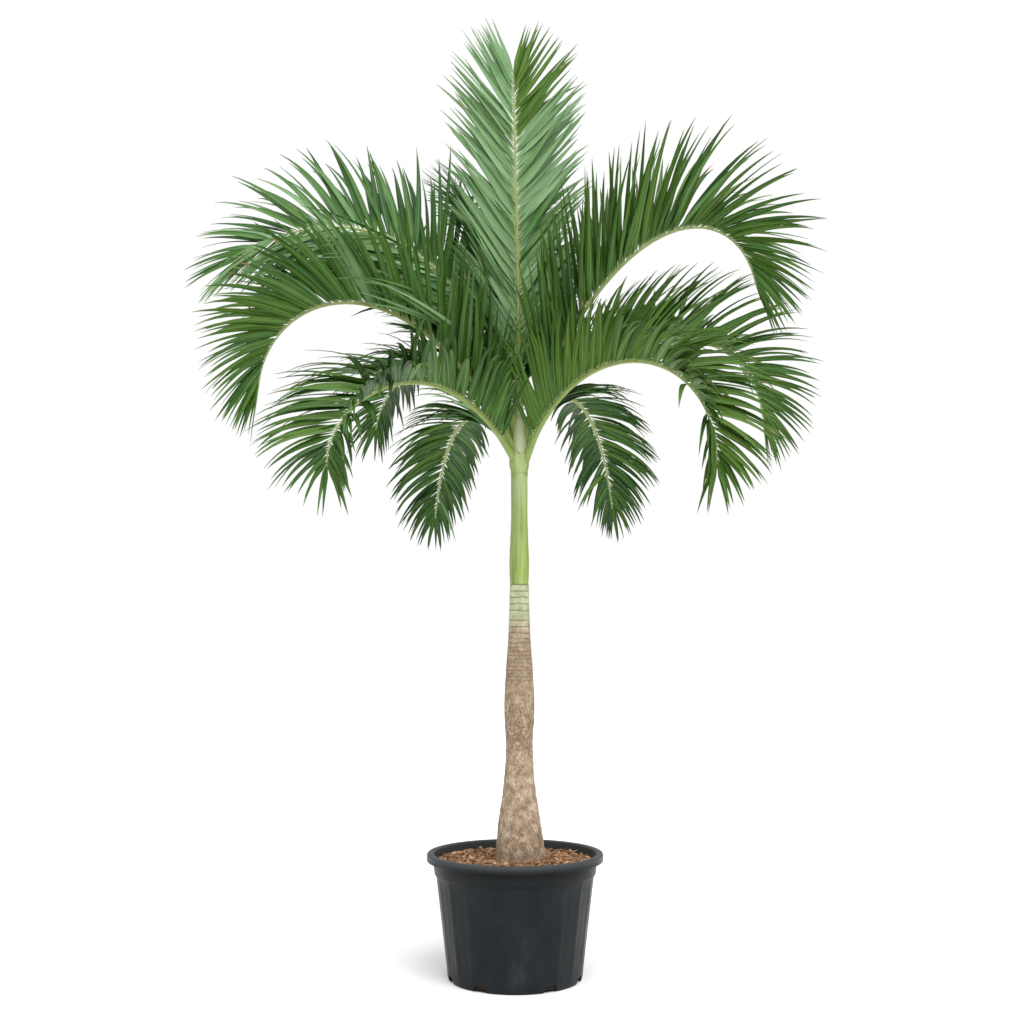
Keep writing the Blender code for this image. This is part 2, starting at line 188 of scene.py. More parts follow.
def buildStage():
    camera = bpy.data.cameras.new("viewCamera")
    camera.lens = stageSettings["lens"]
    camera.sensor_width = 36
    camera.dof.use_dof = False
    cameraObject = bpy.data.objects.new("viewCamera", camera)
    bpy.context.scene.collection.objects.link(cameraObject)
    cameraObject.location = stageSettings["cameraPlace"]
    cameraObject.rotation_euler = Euler((math.radians(90 + stageSettings["cameraTilt"]), 0, 0))
    bpy.context.scene.camera = cameraObject

    deselectAll()
    bpy.ops.mesh.primitive_plane_add(size=stageSettings["floorSize"], location=(0, 0, 0))
    floor = bpy.context.object
    floor.name = "studioFloor"
    paint = bpy.data.materials.new("studioFloor")
    paint.use_nodes = True
    shader = paint.node_tree.nodes["Principled BSDF"]
    shader.inputs["Base Color"].default_value = (*stageSettings["floorColour"], 1)
    shader.inputs["Roughness"].default_value = 0.9
    shader.inputs["Specular IOR Level"].default_value = 0.1
    floor.data.materials.append(paint)

    world = bpy.data.worlds.new("studioWorld")
    world.use_nodes = True
    nodes, links = world.node_tree.nodes, world.node_tree.links
    backdrop = nodes["Background"]
    backdrop.inputs["Color"].default_value = (*stageSettings["worldColour"], 1)
    backdrop.inputs["Strength"].default_value = stageSettings["backdropStrength"]
    way = nodes.new("ShaderNodeTexCoord")
    split = nodes.new("ShaderNodeSeparateXYZ")
    links.new(way.outputs["Generated"], split.inputs[0])
    height = mathNode(nodes, links, "ADD", mathNode(nodes, links, "MULTIPLY", split.outputs["Z"], 0.5), 0.5)
    low, level, overhead = stageSettings["roomLight"]
    room = nodes.new("ShaderNodeBackground")
    links.new(valueRamp(nodes, links, height, [(0.0, low), (0.5, level), (1.0, overhead)]), room.inputs["Color"])
    seen = nodes.new("ShaderNodeLightPath")
    mix = nodes.new("ShaderNodeMixShader")
    links.new(seen.outputs["Is Camera Ray"], mix.inputs["Fac"])
    links.new(room.outputs[0], mix.inputs[1])
    links.new(backdrop.outputs[0], mix.inputs[2])
    links.new(mix.outputs[0], nodes["World Output"].inputs["Surface"])
    bpy.context.scene.world = world
    bpy.context.scene.view_settings.view_transform = "Standard"

    for name, place, strength, softness, colour in stageSettings["lamps"]:
        light = bpy.data.lights.new(name, "SUN")
        light.energy = strength
        light.angle = math.radians(softness)
        light.color = colour
        lamp = bpy.data.objects.new(name, light)
        lamp.location = place
        lamp.rotation_euler = (-Vector(place)).to_track_quat("-Z", "Y").to_euler()
        bpy.context.scene.collection.objects.link(lamp)


# ---- materials ----

def startMaterial(name, roughness, specular=0.5):
    material = bpy.data.materials.new(name)
    material.use_nodes = True
    nodes = material.node_tree.nodes
    shader = nodes["Principled BSDF"]
    shader.inputs["Roughness"].default_value = roughness
    shader.inputs["Specular IOR Level"].default_value = specular
    return material, nodes, material.node_tree.links, shader


def objectNoise(nodes, links, scale, detail=4.0, stretch=None):
    place = nodes.new("ShaderNodeTexCoord")
    texture = nodes.new("ShaderNodeTexNoise")
    texture.inputs["Scale"].default_value = scale
    texture.inputs["Detail"].default_value = detail
    if stretch is None:
        links.new(place.outputs["Object"], texture.inputs["Vector"])
    else:
        mapping = nodes.new("ShaderNodeMapping")
        mapping.inputs["Scale"].default_value = stretch
        links.new(place.outputs["Object"], mapping.inputs["Vector"])
        links.new(mapping.outputs["Vector"], texture.inputs["Vector"])
    return texture.outputs["Fac"]


def rampOf(nodes, links, source, stops):
    ramp = nodes.new("ShaderNodeValToRGB")
    elements = ramp.color_ramp.elements
    while len(elements) > 1:
        elements.remove(elements[0])
    elements[0].position = stops[0][0]
    elements[0].color = (*stops[0][1], 1)
    for place, colour in stops[1:]:
        stop = elements.new(place)
        stop.color = (*colour, 1)
    links.new(source, ramp.inputs["Fac"])
    return ramp.outputs["Color"]


def valueRamp(nodes, links, source, stops):
    return rampOf(nodes, links, source, [(place, (level,) * 3) for place, level in stops])


def mixColour(nodes, links, factor, first, second, blend="MIX"):
    mix = nodes.new("ShaderNodeMix")
    mix.data_type = "RGBA"
    mix.blend_type = blend
    for socket, value in ((mix.inputs["Factor"], factor), (mix.inputs[6], first), (mix.inputs[7], second)):
        if isinstance(value, (int, float)):
            socket.default_value = value
        elif isinstance(value, tuple):
            socket.default_value = (*value, 1)
        else:
            links.new(value, socket)
    return mix.outputs[2]


def mathNode(nodes, links, operation, first, second=0.0, clamp=False):
    node = nodes.new("ShaderNodeMath")
    node.operation = operation
    node.use_clamp = clamp
    for socket, value in zip(node.inputs, (first, second)):
        if isinstance(value, (int, float)):
            socket.default_value = value
        else:
            links.new(value, socket)
    return node.outputs[0]


def addBump(nodes, links, shader, height, strength, distance):
    bump = nodes.new("ShaderNodeBump")
    bump.inputs["Strength"].default_value = strength
    bump.inputs["Distance"].default_value = distance
    links.new(height, bump.inputs["Height"])
    links.new(bump.outputs["Normal"], shader.inputs["Normal"])


def floatAttribute(nodes, name):
    node = nodes.new("ShaderNodeAttribute")
    node.attribute_name = name
    return node.outputs["Fac"]


def leafMaterial(name, colours, freshColour, roughness, specular):
    # each leaflet has its own tone; blade runs 0 to 1 from its root to its tip
    material, nodes, links, shader = startMaterial(name, roughness, specular)
    blade = floatAttribute(nodes, "blade")
    across = floatAttribute(nodes, "across")
    patches = objectNoise(nodes, links, 9.0, 3.0)
    mixed = mathNode(nodes, links, "ADD", floatAttribute(nodes, "tone"),
                     mathNode(nodes, links, "MULTIPLY", mathNode(nodes, links, "SUBTRACT", patches, 0.5), 0.45))
    colour = rampOf(nodes, links, mixed, list(zip((0.05, 0.38, 0.68, 0.95), colours)))
    fresh = mathNode(nodes, links, "MULTIPLY", floatAttribute(nodes, "fresh"), 0.75)
    colour = mixColour(nodes, links, fresh, colour, freshColour)
    veins = mathNode(nodes, links, "SINE", mathNode(nodes, links, "MULTIPLY", across, 75.0))
    veinTint = valueRamp(nodes, links, mathNode(nodes, links, "ADD", veins, 0.5), [(0.0, 0.80), (1.0, 1.0)])
    colour = mixColour(nodes, links, 0.55, colour, veinTint, "MULTIPLY")
    fromMiddle = mathNode(nodes, links, "ABSOLUTE", mathNode(nodes, links, "SUBTRACT", across, 0.5))
    rib = valueRamp(nodes, links, fromMiddle, [(0.0, 1.0), (0.05, 0.7), (0.09, 0.0)])
    colour = mixColour(nodes, links, mathNode(nodes, links, "MULTIPLY", rib, 0.28), colour,
                       tuple(part * 1.25 + 0.01 for part in colours[3]))
    root = valueRamp(nodes, links, blade, [(0.0, 0.8), (0.015, 0.5), (0.040, 0.0)])
    colour = mixColour(nodes, links, root, colour, (0.46, 0.50, 0.26))
    dryStart = mathNode(nodes, links, "SUBTRACT", 1.16,
                        mathNode(nodes, links, "MULTIPLY", floatAttribute(nodes, "dry"), 0.34))
    dryness = mathNode(nodes, links, "MULTIPLY", mathNode(nodes, links, "SUBTRACT", blade, dryStart), 14.0, clamp=True)
    colour = mixColour(nodes, links, dryness, colour, (0.28, 0.21, 0.10))
    links.new(colour, shader.inputs["Base Color"])
    height = mathNode(nodes, links, "ADD", mathNode(nodes, links, "MULTIPLY", veins, 0.5),
                      mathNode(nodes, links, "MULTIPLY", rib, 1.4))
    addBump(nodes, links, shader, height, 0.35, 0.0006)
    return material


def stalkMaterial():
    material, nodes, links, shader = startMaterial("stalkSkin", 0.42, 0.5)
    along = floatAttribute(nodes, "along")
    mottling = objectNoise(nodes, links, 40.0, 4.0)
    colour = rampOf(nodes, links, along, [(0.0, (0.215, 0.305, 0.070)), (0.25, (0.215, 0.295, 0.065)),
                                          (0.6, (0.28, 0.335, 0.105)), (1.0, (0.26, 0.36, 0.12))])
    tint = valueRamp(nodes, links, mottling, [(0.3, 0.75), (0.7, 1.1)])
    colour = mixColour(nodes, links, 0.6, colour, tint, "MULTIPLY")
    links.new(colour, shader.inputs["Base Color"])
    fibres = objectNoise(nodes, links, 260.0, 2.0)
    addBump(nodes, links, shader, fibres, 0.15, 0.0004)
    return material


def sheathMaterial(name, bloomLevel):
    # yellow-green skin with upright streaks of whitish bloom and a painted sheen on the lit front, painted shade on the
    # left flank, darker at each stored scar
    material, nodes, links, shader = startMaterial(name, 0.46, 0.45)
    streaks = objectNoise(nodes, links, 26.0, 4.0, (3.2, 3.2, 0.22))
    patches = objectNoise(nodes, links, 16.0, 5.0, (1.0, 1.0, 0.45))
    # painted shade: the stored flank value darkens the streaks, most on the left side
    streaks = mathNode(nodes, links, "ADD", streaks, mathNode(nodes, links, "MULTIPLY", floatAttribute(nodes, "sheathShade"), -0.20))
    colour = rampOf(nodes, links, streaks, [(0.28, (0.15, 0.245, 0.045)), (0.50, (0.30, 0.40, 0.09)),
                                            (0.72, (0.40, 0.49, 0.19))])
    bloomAndSheen = valueRamp(nodes, links, patches, [(0.34, 0.0), (0.56, bloomLevel)])
    # the stored weight keeps the whitish colour mostly on the front: real bloom patches with a painted sheen where the
    # light falls
    bloomAndSheenWeight = floatAttribute(nodes, "bloomAndSheen")
    bloomAndSheen = mathNode(nodes, links, "MULTIPLY", bloomAndSheen, bloomAndSheenWeight)
    colour = mixColour(nodes, links, bloomAndSheen, colour, (0.41, 0.46, 0.29))
    colour = mixColour(nodes, links, floatAttribute(nodes, "scar"), colour, (0.12, 0.105, 0.06))
    links.new(colour, shader.inputs["Base Color"])
    addBump(nodes, links, shader, objectNoise(nodes, links, 90.0, 3.0, (3.0, 3.0, 0.15)), 0.12, 0.0005)
    return material


def barkMaterial():
    # grey-green where the stem is young, tan and blotched lower down, dark in the rings
    material, nodes, links, shader = startMaterial("trunkBark", 0.82, 0.25)
    young = floatAttribute(nodes, "young")
    mottled = floatAttribute(nodes, "mottled")
    grain = objectNoise(nodes, links, 62.0, 9.0, (1.0, 1.0, 0.8))
    tan = rampOf(nodes, links, grain, [(0.28, (0.22, 0.150, 0.095)), (0.47, (0.38, 0.285, 0.20)),
                                       (0.68, (0.56, 0.46, 0.35))])
    tan = mixColour(nodes, links, floatAttribute(nodes, "brown"), tan, (0.27, 0.195, 0.125))
    blotchField = objectNoise(nodes, links, 210.0, 9.0, (1.0, 1.0, 0.75))
    spread = mathNode(nodes, links, "ADD", blotchField, mathNode(nodes, links, "MULTIPLY", mottled, 0.16))
    blotches = valueRamp(nodes, links, spread, [(0.50, 0.0), (0.74, 0.80)])
    tan = mixColour(nodes, links, blotches, tan, (0.165, 0.105, 0.060))
    specks = valueRamp(nodes, links, objectNoise(nodes, links, 300.0, 4.0), [(0.58, 0.0), (0.68, 0.8)])
    tan = mixColour(nodes, links, mathNode(nodes, links, "MULTIPLY", specks, 0.8), tan, (0.11, 0.07, 0.04))
    pale = rampOf(nodes, links, grain, [(0.3, (0.30, 0.33, 0.185)), (0.55, (0.44, 0.47, 0.30)),
                                        (0.75, (0.56, 0.57, 0.42))])
    colour = mixColour(nodes, links, young, tan, pale)
    colour = mixColour(nodes, links, floatAttribute(nodes, "ring"), colour, (0.085, 0.065, 0.042))
    links.new(colour, shader.inputs["Base Color"])
    cracks = objectNoise(nodes, links, 70.0, 8.0, (1.0, 1.0, 0.35))
    addBump(nodes, links, shader, cracks, 0.55, 0.0016)
    return material


def potMaterial():
    material, nodes, links, shader = startMaterial("potPlastic", 0.45, 0.14)
    scuffs = objectNoise(nodes, links, 22.0, 8.0, (1.0, 1.0, 0.5))
    colour = rampOf(nodes, links, scuffs, [(0.35, (0.0072, 0.0096, 0.0120)), (0.60, (0.0118, 0.0148, 0.0176)),
                                           (0.85, (0.030, 0.036, 0.040))])
    dust = valueRamp(nodes, links, objectNoise(nodes, links, 6.0, 6.0), [(0.55, 0.0), (0.8, 0.22)])
    colour = mixColour(nodes, links, dust, colour, (0.045, 0.048, 0.047))
    # painted highlight: the upper part of the rim is painted lighter
    colour = mixColour(nodes, links, floatAttribute(nodes, "rimHighlight"), colour, (0.075, 0.085, 0.090))
    # painted shade: a near-black line under the rim and under the collar step
    colour = mixColour(nodes, links, floatAttribute(nodes, "paintedShade"), colour, (0.0025, 0.0028, 0.0030))
    links.new(colour, shader.inputs["Base Color"])
    rough = valueRamp(nodes, links, scuffs, [(0.3, 0.34), (0.8, 0.55)])
    links.new(rough, shader.inputs["Roughness"])
    addBump(nodes, links, shader, objectNoise(nodes, links, 420.0, 2.0), 0.10, 0.0003)
    return material


def crumbMaterial(name, stops, bumpSize):
    material, nodes, links, shader = startMaterial(name, 0.93, 0.15)
    tone = floatAttribute(nodes, "tone")
    grain = objectNoise(nodes, links, 150.0, 6.0)
    mixed = mathNode(nodes, links, "ADD", mathNode(nodes, links, "MULTIPLY", tone, 0.72),
                     mathNode(nodes, links, "MULTIPLY", grain, 0.28))
    links.new(rampOf(nodes, links, mixed, stops), shader.inputs["Base Color"])
    addBump(nodes, links, shader, grain, 0.7, bumpSize)
    return material


# ---- pot ----

potSettings = {
    "rimRadius": 0.200,
    "rimOverhang": 0.014,
    "rimDepth": 0.018,
    "rimRound": 0.005,
    "wall": 0.003,
    "floor": 0.004,
    "baseRadius": 0.151,
    "collarDepth": 0.047,
    "collarStep": 0.003,
    "baseCorner": 0.006,
    "flutes": 20,
    "fluteDepth": 0.0022,
    "columnsPerFlute": 8,
    "drainWidth": 0.030,
    "drainHeight": 0.014,
    "drainAngles": (30, 70, 110, 150, 210, 250, 290, 330),
}


def potWallRadius(height, potHeight):
    s = potSettings
    topRadius = s["rimRadius"] - s["rimOverhang"] - s["collarStep"]
    return s["baseRadius"] + (topRadius - s["baseRadius"]) * height / (potHeight - s["rimDepth"])


def arcPoints(centre, radius, start, end, steps):
    points = []
    for step in range(steps + 1):
        angle = math.radians(start + (end - start) * step / steps)
        points.append((centre[0] + radius * math.cos(angle), centre[1] + radius * math.sin(angle)))
    return points


def buildPot(potHeight, plastic):
    s = potSettings
    collarBottom = potHeight - s["collarDepth"]
    outside = s["rimRadius"] - s["rimOverhang"]
    inside = outside - s["wall"]
    shoulder = potWallRadius(collarBottom, potHeight)
    rimBottom = potHeight - s["rimDepth"]
    round_ = s["rimRound"]
    profile = [(0, s["floor"]), (0.05, s["floor"]), (0.10, s["floor"])]
    profile += [(potWallRadius(0.004, potHeight) - s["wall"] - 0.004, s["floor"])]
    profile += [(potWallRadius(0.008, potHeight) - s["wall"], s["floor"] + 0.004)]
    profile += [(shoulder - s["wall"], collarBottom)]
    profile += arcPoints((inside + round_, potHeight - round_), round_, 180, 90, 5)
    profile += arcPoints((s["rimRadius"] - round_, potHeight - round_), round_, 90, 0, 6)
    profile += arcPoints((s["rimRadius"] - 0.0025, rimBottom + 0.0025), 0.0025, 0, -90, 3)
    profile += [(outside + 0.0015, rimBottom), (outside, rimBottom - 0.0015)]
    collarOuter = shoulder + s["collarStep"]
    profile += [(collarOuter + 0.0007, collarBottom + 0.006)]
    profile += [(collarOuter, collarBottom + 0.0012), (collarOuter - 0.0009, collarBottom)]
    profile += [(shoulder, collarBottom - 0.0022)]
    rows = 14
    for row in range(rows + 1):
        height = (collarBottom - 0.006) + (s["baseCorner"] + 0.004 - collarBottom + 0.006) * row / rows
        profile.append((potWallRadius(height, potHeight), height))
    cornerRadius = potWallRadius(s["baseCorner"], potHeight)
    profile += [(cornerRadius - 0.0004, s["baseCorner"]), (cornerRadius - 0.0016, 0.0022)]
    profile += [(cornerRadius - 0.0042, 0.0)]
    profile += [(0.10, 0.0), (0.05, 0.0), (0, 0.0)]
    columns = s["flutes"] * s["columnsPerFlute"]
    pot = turnedShape("nurseryPot", profile, (0, 0), columns)

    # below the collar, flat panels pressed in between narrow upright ribs
    points = readPoints(pot)
    radius = np.hypot(points[:, 0], points[:, 1])
    angle = np.arctan2(points[:, 1], points[:, 0])
    wallHere = np.array([potWallRadius(height, potHeight) for height in points[:, 2]])
    onWall = (np.abs(radius - wallHere) < 0.0012) & (points[:, 2] < collarBottom - 0.001)
    share = (angle / (2 * math.pi) * s["flutes"]) % 1.0
    panel = smoothStep(np.minimum(share, 1 - share), 0.03, 0.20)
    fade = smoothStep(points[:, 2], 0.016, 0.034) * (1 - smoothStep(points[:, 2], collarBottom - 0.012, collarBottom - 0.003))
    inward = s["fluteDepth"] * panel * fade * onWall
    points[:, 0] *= (radius - inward) / np.maximum(radius, 1e-6)
    points[:, 1] *= (radius - inward) / np.maximum(radius, 1e-6)
    writePoints(pot, points)

    # drain holes cut through the bottom corner
    for angleDegrees in s["drainAngles"]:
        turn = math.radians(angleDegrees - 90)
        deselectAll()
        place = (s["baseRadius"] * math.cos(turn), s["baseRadius"] * math.sin(turn), 0)
        bpy.ops.mesh.primitive_cube_add(size=1, location=place, rotation=(0, 0, turn))
        cutter = bpy.context.object
        cutter.scale = (0.026, s["drainWidth"], 2 * s["drainHeight"])
        applyPlace(cutter)
        rounding = cutter.modifiers.new("rounding", "BEVEL")
        rounding.width = 0.004
        rounding.segments = 3
        applyModifier(cutter, rounding)
        hole = pot.modifiers.new("hole", "BOOLEAN")
        hole.object = cutter
        hole.operation = "DIFFERENCE"
        hole.solver = "EXACT"
        applyModifier(pot, hole)
        bpy.data.objects.remove(cutter, do_unlink=True)
    points = readPoints(pot)
    radius = np.hypot(points[:, 0], points[:, 1])
    # painted highlight: the upper rim, inside and out, is stored lighter
    storeFloat(pot, "rimHighlight", 0.5 * smoothStep(points[:, 2], potHeight - 0.016, potHeight - 0.003) * (radius > 0.17))
    # painted shade under the rim and under the collar step, kept to the outside wall
    underRim = np.exp(-((points[:, 2] - rimBottom) / 0.0030) ** 2)
    underCollar = np.exp(-((points[:, 2] - collarBottom + 0.0010) / 0.0026) ** 2)
    storeFloat(pot, "paintedShade", np.clip(underRim + underCollar, 0, 1) * (radius > shoulder - 0.002))
    smoothShade(pot, 35)
    finishPiece(pot, ["pot"], [plastic])
    print("pot done:", len(pot.data.polygons), "faces")
    return pot


# ---- soil, mulch and bark chips ----

mulchSettings = {
    "chipCount": 800,
    "fibreCount": 450,
    "chipLength": (0.005, 0.015),
    "fibreLength": (0.016, 0.046),
    "innerRadius": 0.046,
    "outerRadius": 0.176,
    "bump": 0.0042,
}


def mulchHeight(x, y, level):
    s = mulchSettings
    lump = noise.noise(Vector((x * 24, y * 24, 3.1))) + 0.5 * noise.noise(Vector((x * 60, y * 60, 7.7)))
    radius = math.hypot(x, y)
    mound = 0.0070 * float(smoothStep(radius, 0.055, 0.100)) * (1 - (radius / 0.19) ** 2)
    return level - 0.0015 + mound + s["bump"] * lump


def buildSoilBody(mulchLevel, floorLevel, collarBottom, potHeight, soilPaint):
    # the soil under the mulch, down to the pot's floor
    top = mulchLevel - 0.0135
    profile = [(0, floorLevel), (0.08, floorLevel)]
    profile += [(potWallRadius(floorLevel, potHeight) - 0.0036, floorLevel + 0.0004)]
    profile += [(potWallRadius(collarBottom, potHeight) - 0.0036, collarBottom)]
    profile += [(potWallRadius(collarBottom, potHeight) - 0.0034, top), (0.10, top), (0, top)]
    soil = turnedShape("pottingSoil", profile, (0, 0), 64)
    storeFloat(soil, "tone", [0.5] * len(soil.data.vertices))
    smoothShade(soil, 50)
    finishPiece(soil, ["potting_soil"], [soilPaint])


def buildMulchBed(mulchLevel, mouthRadius, mulchPaint):
    edge = mouthRadius - 0.0006
    rings = 30
    profile = [(0, mulchLevel)]
    profile += [(edge * (ring / rings), mulchLevel) for ring in range(1, rings + 1)]
    profile += [(edge - 0.001, mulchLevel - 0.012), (edge * 0.5, mulchLevel - 0.0125), (0, mulchLevel - 0.0125)]
    bed = turnedShape("mulchBed", profile, (0, 0), 120)
    points = readPoints(bed)
    top = points[:, 2] > mulchLevel - 0.001
    for index in np.nonzero(top)[0]:
        x, y = points[index, 0], points[index, 1]
        points[index, 2] = mulchHeight(x, y, mulchLevel)
    writePoints(bed, points)
    tones = [0.50 + 0.35 * noise.noise(Vector((x * 90, y * 90, 1.0))) for x, y, z in points]
    storeFloat(bed, "tone", tones)
    smoothShade(bed, 60)
    finishPiece(bed, ["bark_mulch"], [mulchPaint])


def chipTemplate():
    deselectAll()
    bpy.ops.mesh.primitive_cube_add(size=1, location=(0, 0, 0))
    chip = bpy.context.object
    bpy.ops.object.mode_set(mode="EDIT")
    bpy.ops.mesh.select_all(action="SELECT")
    bpy.ops.mesh.subdivide(number_cuts=1)
    bpy.ops.object.mode_set(mode="OBJECT")
    points = readPoints(chip)
    length = np.linalg.norm(points, axis=1)[:, None]
    points *= 0.5 + 0.28 / np.maximum(length, 0.1)
    writePoints(chip, points)
    return chip


def fibreTemplate():
    deselectAll()
    bpy.ops.mesh.primitive_cylinder_add(vertices=5, radius=0.5, depth=1, location=(0, 0, 0), rotation=(0, math.pi / 2, 0))
    fibre = bpy.context.object
    applyPlace(fibre)
    bpy.ops.object.mode_set(mode="EDIT")
    bpy.ops.mesh.select_all(action="DESELECT")
    bpy.ops.object.mode_set(mode="OBJECT")
    for edge in fibre.data.edges:
        first, second = (fibre.data.vertices[i].co for i in edge.vertices)
        edge.select = abs(first.x - second.x) > 0.5
    bpy.ops.object.mode_set(mode="EDIT")
    bpy.ops.mesh.select_mode(type="EDGE")
    bpy.ops.mesh.subdivide(number_cuts=3)
    bpy.ops.mesh.select_mode(type="VERT")
    bpy.ops.object.mode_set(mode="OBJECT")
    points = readPoints(fibre)
    narrowing = 1 - 0.75 * (2 * np.abs(points[:, 0])) ** 3
    points[:, 1] *= narrowing
    points[:, 2] *= narrowing
    writePoints(fibre, points)
    return fibre


def scatterOne(template, size, place, turn, bend, tone, seed):
    piece = bpy.data.objects.new("scrap", template.data.copy())
    bpy.context.scene.collection.objects.link(piece)
    points = readPoints(piece) * np.array(size)
    for index, point in enumerate(points):
        wobble = noise.noise_vector(Vector((point[0] * 220 + seed, point[1] * 220, point[2] * 220)))
        points[index] += np.array(wobble) * min(size) * 0.35
    points[:, 2] += bend * (points[:, 0] / max(size[0], 1e-6)) ** 2 * size[0]
    matrix = np.array(Euler(turn).to_matrix())
    writePoints(piece, points @ matrix.T + np.array(place))
    storeFloat(piece, "tone", [tone] * len(points))
    return piece


def buildBarkChips(mulchLevel, trunkX, chipPaint):
    s = mulchSettings
    chip = chipTemplate()
    fibre = fibreTemplate()
    scraps = []
    for number in range(s["chipCount"] + s["fibreCount"]):
        isChip = number < s["chipCount"]
        radius = math.sqrt(random.uniform(s["innerRadius"] ** 2, s["outerRadius"] ** 2))
        angle = random.uniform(0, 2 * math.pi)
        x, y = radius * math.cos(angle), radius * math.sin(angle)
        if math.hypot(x - trunkX, y) < 0.050:
            continue
        level = mulchHeight(x, y, mulchLevel) + random.uniform(0.0, 0.0022)
        tone = min(1.0, max(0.0, random.gauss(0.49, 0.24)))
        if isChip:
            length = random.uniform(*s["chipLength"])
            size = (length, length * random.uniform(0.35, 0.75), length * random.uniform(0.15, 0.4))
            turn = (random.gauss(0, 0.35), random.gauss(0, 0.35), random.uniform(0, 6.28))
            scraps.append(scatterOne(chip, size, (x, y, level), turn, 0, tone, number))
        else:
            length = random.uniform(*s["fibreLength"])
            thickness = random.uniform(0.0009, 0.0024)
            reach = math.hypot(x, y) + length * 0.5
            if reach > s["outerRadius"] + 0.004:
                length *= 0.5
            turn = (random.uniform(-0.3, 0.3), random.gauss(0, 0.22), random.uniform(0, 6.28))
            bend = random.uniform(-0.35, 0.35)
            place = (x, y, level + 0.001)
            scraps.append(scatterOne(fibre, (length, thickness, thickness), place, turn, bend, tone, number))
    for template in (chip, fibre):
        bpy.data.objects.remove(template, do_unlink=True)
    chips = joinPieces(scraps, "barkChips")
    smoothShade(chips, 50)
    finishPiece(chips, [], [chipPaint])
    print("bark chips done:", len(chips.data.polygons), "faces")


# ---- trunk ----

trunkSettings = {
    # radius at shares of the length above the mulch
    "radii": ((0.0560, 0.000), (0.0545, 0.048), (0.0480, 0.139), (0.0380, 0.243), (0.0318, 0.349),
              (0.0318, 0.456), (0.0352, 0.555), (0.0330, 0.642), (0.0259, 0.797), (0.0220, 1.000)),
    "rootDepth": 0.060,
    "rowHeight": 0.0021,
    "columns": 72,
    "topRingGaps": (0.0002, 0.0140, 0.0148, 0.0149, 0.0153, 0.0225, 0.0150, 0.0140, 0.0120, 0.0105,
                    0.0110, 0.0090, 0.0085, 0.0095, 0.0080, 0.0085, 0.0075, 0.0080, 0.0075, 0.0080),
    "ringWidth": 0.0016,
    "ringDepth": 0.0007,
}


def ringHeights(trunkTop):
    heights = []
    height = trunkTop
    for gapBelow in trunkSettings["topRingGaps"]:
        height -= gapBelow
        heights.append(height)
    return heights


def buildTrunk(mulchLevel, trunkTop, trunkX, bark):
    s = trunkSettings
    length = trunkTop - mulchLevel
    stations = [(radius, mulchLevel + share * length) for radius, share in s["radii"]]
    rows = int(length / s["rowHeight"])
    profile = [(0, trunkTop), (0.012, trunkTop)]
    profile += [(profileRadius(trunkTop - length * row / rows, stations), trunkTop - length * row / rows)
                for row in range(rows + 1)]
    flare = stations[0][0]
    profile += [(flare * 0.99, mulchLevel - 0.008), (flare * 0.85, mulchLevel - s["rootDepth"] * 0.6)]
    profile += [(flare * 0.45, mulchLevel - s["rootDepth"]), (0, mulchLevel - s["rootDepth"])]
    trunk = turnedShape("palmTrunk", profile, (trunkX, 0), s["columns"])

    points = readPoints(trunk)
    heights = points[:, 2]
    radius = np.hypot(points[:, 0] - trunkX, points[:, 1])
    angle = np.arctan2(points[:, 1], points[:, 0] - trunkX)
    young = smoothStep(heights, trunkTop - 0.120, trunkTop - 0.060)
    ring = np.zeros(len(points))
    groove = np.zeros(len(points))
    for number, ringHeight in enumerate(ringHeights(trunkTop)):
        waviness = 0.0006 * np.sin(angle * 2 + number * 1.7) + 0.0004 * np.sin(angle * 5 + number)
        distance = np.abs(heights - ringHeight - waviness)
        strength = 1.0 if number < 9 else 0.62
        ring = np.maximum(ring, strength * (1 - smoothStep(distance, 0.0004, s["ringWidth"])))
        groove = np.maximum(groove, strength * (1 - smoothStep(distance, 0.0002, s["ringWidth"] * 1.3)))
    lower = 1 - smoothStep(heights, trunkTop - 0.36, trunkTop - 0.20)
    offsets = np.zeros(len(points))
    for index, point in enumerate(points):
        spot = Vector(point)
        coarse = noise.noise(spot * 22) + 0.5 * noise.noise(spot * 55)
        fine = noise.noise(Vector((spot.x * 160, spot.y * 160, spot.z * 90)))
        offsets[index] = coarse * 0.0013 * lower[index] + fine * 0.0005 * (0.3 + 0.7 * lower[index])
    base = 1 - smoothStep(heights, mulchLevel, mulchLevel + 0.085)
    buttress = base * (0.0036 * np.sin(angle * 5 + 0.9) + 0.0026 * np.sin(angle * 11 + 2.0))
    outward = offsets - groove * s["ringDepth"] + buttress * (heights > mulchLevel - 0.02)
    outward -= base * 0.0015
    scale = np.where(radius > 0.001, (radius + outward) / np.maximum(radius, 1e-6), 1.0)
    points[:, 0] = trunkX + (points[:, 0] - trunkX) * scale
    points[:, 1] *= scale
    writePoints(trunk, points)
    storeFloat(trunk, "young", young)
    storeFloat(trunk, "ring", ring * 0.85)
    storeFloat(trunk, "brown", 0.55 * np.exp(-((heights - (trunkTop - 0.190)) / 0.080) ** 2))
    middle = np.exp(-((heights - (trunkTop - 0.330)) / 0.065) ** 2)
    foot = np.exp(-((heights - mulchLevel) / 0.06) ** 2)
    storeFloat(trunk, "mottled", np.clip(0.10 + 0.90 * middle + 0.45 * foot, 0, 1))
    smoothShade(trunk, 60)
    finishPiece(trunk, ["trunk"], [bark])
    print("trunk done:", len(trunk.data.polygons), "faces")


# ---- crownshaft and inner sheath ----

crownSettings = {
    "radii": ((0.0222, 0.000), (0.0227, 0.030), (0.0238, 0.180), (0.0222, 0.330), (0.0204, 0.520),
              (0.0205, 0.720), (0.0211, 0.880), (0.0222, 0.950), (0.0215, 1.000)),
    "collarDrop": 0.046,
    "collarLip": 0.0011,
    "rowHeight": 0.0022,
    "columns": 56,
}


